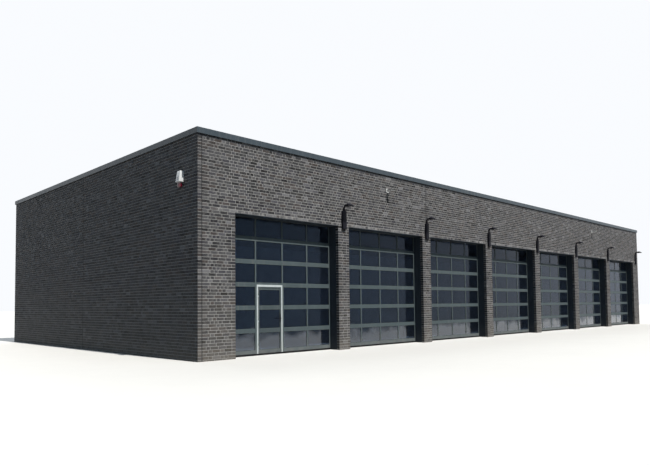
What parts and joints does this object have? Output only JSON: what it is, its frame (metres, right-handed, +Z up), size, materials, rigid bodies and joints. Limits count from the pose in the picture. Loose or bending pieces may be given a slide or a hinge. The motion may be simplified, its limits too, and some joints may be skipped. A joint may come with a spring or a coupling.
{
  "type": "fire station vehicle hall",
  "caption": "Single-storey brick vehicle hall with a row of glazed sectional doors set back between piers, a pass door, a flat roof and wall lights.",
  "frame": {"origin": "middle of the hall's footprint at ground level, on the underside of the floor and walls", "axes": "+X along the front from left to right as seen from the forecourt, the front faces -Y, +Z up"},
  "size_m": [33.25, 14.935, 6.083],
  "materials": {
    "clinker_brick": "dark grey-brown clinker in light grey mortar, matt",
    "concrete": "fair-faced concrete, power-floated on the floor",
    "roof_membrane": "light grey roofing sheet",
    "coping_metal": "slate-grey coated sheet, satin",
    "soffit_metal": "slate-grey coated sheet, satin",
    "door_aluminium": "grey-green powder coat, satin",
    "door_glass": "clear double pane, dark against the unlit hall",
    "wicket_aluminium": "natural anodised, satin",
    "wicket_leaf_metal": "grey-green powder coat, satin",
    "seal_rubber": "black, matt",
    "galvanised_steel": "galvanised, matt",
    "light_metal": "black powder coat, fine texture",
    "spout_metal": "mill-finished sheet",
    "sounder_white": "white moulded housing",
    "lens_red": "clear red moulded lens"
  },
  "bodies": {
    "hall": {"left_wall": "clinker_brick", "right_wall": "clinker_brick", "rear_wall": "clinker_brick", "front_band": "clinker_brick", "front_end_pier_left": "clinker_brick", "front_end_pier_right": "clinker_brick", "front_piers": "clinker_brick", "hall_floor": "concrete", "roof_deck": "concrete", "roof_covering": "roof_membrane", "opening_linings": "soffit_metal", "coping_front": "coping_metal", "coping_rear": "coping_metal", "coping_left": "coping_metal", "coping_right": "coping_metal", "parapet_upstands": "roof_membrane", "door_leaf_1_left": "door_aluminium", "door_leaf_1_right": "door_aluminium", "door_leaf_1_upper": "door_aluminium", "door_leaf_2": "door_aluminium", "door_leaf_3": "door_aluminium", "door_leaf_4": "door_aluminium", "door_leaf_5": "door_aluminium", "door_leaf_6": "door_aluminium", "door_leaf_7": "door_aluminium", "door_glazing_1": "door_glass", "door_glazing_2": "door_glass", "door_glazing_3": "door_glass", "door_glazing_4": "door_glass", "door_glazing_5": "door_glass", "door_glazing_6": "door_glass", "door_glazing_7": "door_glass", "wicket_frame": "wicket_aluminium", "wicket_hinges": "wicket_aluminium", "door_seals": "seal_rubber", "door_tracks": "galvanised_steel", "light_brackets": "light_metal", "light_heads": "light_metal", "overflow_spouts": "spout_metal", "sounder_housing": "sounder_white", "sounder_lens": "lens_red"},
    "wicket_door": {"wicket_leaf": "wicket_leaf_metal", "wicket_glazing": "door_glass", "wicket_handle": "wicket_aluminium", "wicket_hinge_leaves": "wicket_aluminium"}
  },
  "joints": [
    {"name": "wicket_swing", "type": "hinge", "parent": "hall", "child": "wicket_door", "pos_m": [-14.26625, -6.857, 0], "axis": [0, 0, -1], "range_deg": [0, 90]}
  ]
}
